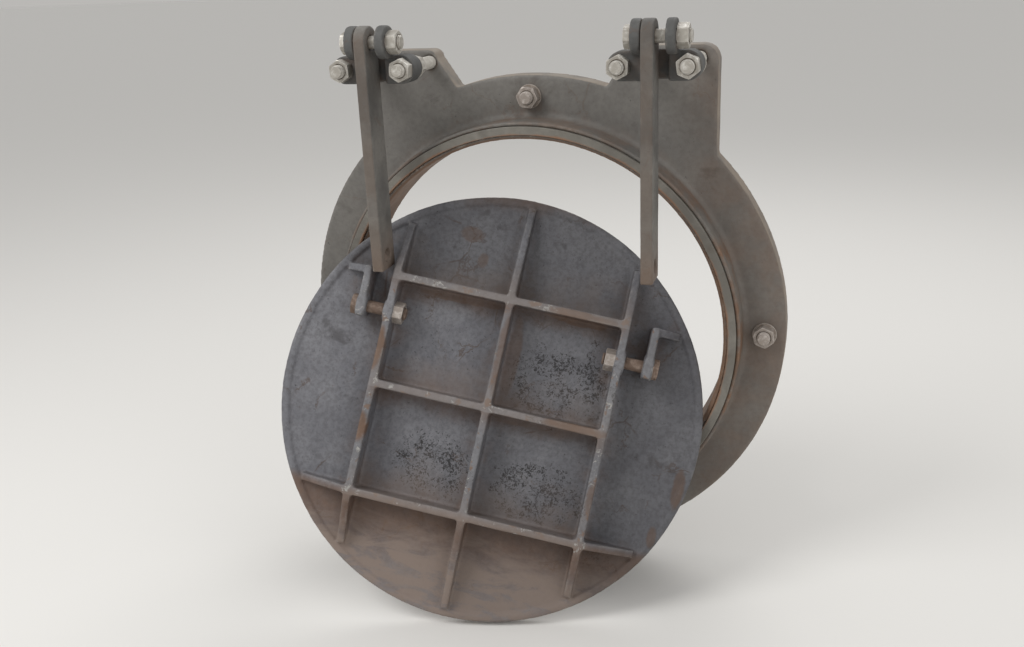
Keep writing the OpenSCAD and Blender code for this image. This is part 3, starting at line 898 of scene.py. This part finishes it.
def studs(node, threadStart, material):
    low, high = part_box(node)
    radius, length = (high.z - low.z) / 2, high.y - low.y
    threads = [(threadStart, length)]
    builders = [(aim(place, (0, -1, 0)), lambda part: threadedRod(part, radius, length, threads))
                for place in studPlaces(node)]
    fastenerPiece(camel(node), material, [node], builders)


def nutsOnStuds(node, studNode, turned, material, washerHigh=0.0, way=-1):
    # nuts, some with a washer, drawn from the face that they bear on
    low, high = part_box(node)
    face = high.y if way < 0 else low.y
    boreR, washerR = fastener["boreR"], (high.z - low.z) / 2
    builders = []
    for turn, (x, y, z) in zip(turned, studPlaces(studNode)):
        spot = aim((x, face, z), (0, way, 0))
        if washerHigh:
            builders.append((spot, lambda part: washerBody(part, washerR, boreR, washerHigh)))
        spot = spot @ Matrix.Translation((0, 0, washerHigh))
        builders.append((spot, lambda part, turn=turn: hexBody(part, fastener["nutHigh"], boreR, turn)))
    fastenerPiece(camel(node), material, [node], builders)


wallNutTurns = {"top": [8], "right": [22], "bottom": [40], "left": [51]}
frontNutTurns = {"left": [27, 36], "right": [33, 22]}
backNutTurns = [4, 47]
threadStart = {"anchor": 0.036, "bracket": 0.030}       # in metres from the wall's face
for clock, turned in wallNutTurns.items():
    studs("anchor_stud_" + clock, threadStart["anchor"], dusty)
    nutsOnStuds("anchor_nut_" + clock, "anchor_stud_" + clock, turned, dusty, fastener["washerHigh"])
for side, turned in frontNutTurns.items():
    studs("bracket_studs_" + side, threadStart["bracket"], zinc)
    nutsOnStuds("front_nuts_" + side, "bracket_studs_" + side, turned, zinc)
    nutsOnStuds("back_nuts_" + side, "bracket_studs_" + side, backNutTurns, zinc, fastener["washerHigh"], 1)


def boltAndNut(kind, side, metals, place, turned):
    # bolt along X of the frame place, with its head on the side away from the nut
    bolt, nut = kind + "_bolt_" + side, kind + "_nut_" + side
    low, high = cornersIn(bolt, place)
    nutLow, nutHigh = cornersIn(nut, place)
    middle = (nutLow + nutHigh) / 2
    nutRight = middle.x > (low.x + high.x) / 2
    headHigh, rodR, boreR = fastener["headHigh"], fastener["rodR"], fastener["boreR"]
    way = Vector((1, 0, 0)) if nutRight else Vector((-1, 0, 0))
    headFace = low.x + headHigh if nutRight else high.x - headHigh
    length = (high.x - low.x) - headHigh
    threads = [(length - fastener["threadLong"], length)]
    shank = aim((headFace, middle.y, middle.z), way)
    head = aim((headFace, middle.y, middle.z), -way)
    fastenerPiece(side + kind.capitalize() + "Bolt", metals[0], [bolt], [
        (shank, lambda part: threadedRod(part, rodR, length, threads)),
        (head, lambda part: hexBody(part, headHigh, 0, turned, True)),
    ], place)
    nutSpot = aim((nutLow.x if nutRight else nutHigh.x, middle.y, middle.z), way)
    wide, nutTurn = nutHigh.x - nutLow.x, turned + fastener["nutAfterHead"]
    fastenerPiece(side + kind.capitalize() + "Nut", metals[1], [nut], [
        (nutSpot, lambda part: hexBody(part, wide, boreR, nutTurn)),
    ], place)


headTurns = {"hinge": 14, "cover": 9}
for side in ("left", "right"):
    boltAndNut("hinge", side, (zinc, zinc), Matrix(), headTurns["hinge"])
    boltAndNut("cover", side, (rusty, dusty), coverPlace, headTurns["cover"])
print("fasteners made")


studio = {
    "floorSize": 80.0, "floorGap": 0.0005, "floor": colour(226, 224, 220),
    "background": colour(186, 184, 181), "sky": (0.62, 0.62, 0.62, 1.0),
    "key": {"place": (-1.6, -1.7, 2.3), "size": 1.6, "power": 44.0},
    "fill": {"place": (2.2, -1.6, 1.3), "size": 2.2, "power": 14.0},
    "rim": {"place": (0.4, 1.9, 2.2), "size": 1.8, "power": 20.0},
}
photoCamera = {
    "place": (0.4596, -1.5963, 0.5576), "turn": (70.9277, 2.4993, 17.4704),
    "lens": 36.69, "sensor": 36.0, "shift": 0.00635,
}


def seenPale(tree):
    # 1 for rays that only look at the surface, straight or in a gloss
    path = tree.nodes.new("ShaderNodeLightPath").outputs
    seen = larger(tree, path["Is Camera Ray"], path["Is Glossy Ray"])
    return larger(tree, seen, path["Is Transmission Ray"])


def makeFloor():
    half = studio["floorSize"] / 2
    mesh = bpy.data.meshes.new("floor")
    corners = [(-half, -half, 0), (half, -half, 0), (half, half, 0), (-half, half, 0)]
    mesh.from_pydata(corners, [], [(0, 1, 2, 3)])
    floor = bpy.data.objects.new("floor", mesh)
    bpy.context.scene.collection.objects.link(floor)
    floor.location = (0, 0, cadBox[0][2] - studio["floorGap"])
    material = bpy.data.materials.new("paleFloor")
    material.use_nodes = True
    shader = material.node_tree.nodes["Principled BSDF"]
    shader.inputs["Base Color"].default_value = studio["floor"]
    shader.inputs["Roughness"].default_value = 0.9
    shader.inputs["Specular IOR Level"].default_value = 0.1
    mesh.materials.append(material)


def makeLight(name, lamp):
    light = bpy.data.lights.new(name, "AREA")
    light.shape = "DISK"
    light.size = lamp["size"]
    light.energy = lamp["power"]
    holder = bpy.data.objects.new(name, light)
    bpy.context.scene.collection.objects.link(holder)
    holder.location = lamp["place"]
    holder.rotation_euler = (-Vector(lamp["place"])).to_track_quat("-Z", "Y").to_euler()


makeFloor()
for lampName in ("key", "fill", "rim"):
    makeLight(lampName, studio[lampName])

world = bpy.data.worlds.new("studio")
bpy.context.scene.world = world
world.use_nodes = True
sky = world.node_tree
backdrop = sky.nodes["Background"]
seen = tint(sky, seenPale(sky), studio["sky"], studio["background"])
sky.links.new(seen, backdrop.inputs["Color"])

lens = bpy.data.cameras.new("photoCamera")
lens.lens = photoCamera["lens"]
lens.sensor_width = photoCamera["sensor"]
lens.sensor_fit = "HORIZONTAL"
lens.shift_x = photoCamera["shift"]
camera = bpy.data.objects.new("photoCamera", lens)
camera.location = photoCamera["place"]
camera.rotation_euler = Euler([math.radians(angle) for angle in photoCamera["turn"]], "XYZ")
bpy.context.scene.collection.objects.link(camera)
bpy.context.scene.camera = camera
bpy.context.scene.view_settings.view_transform = "Standard"

print("scene ready")
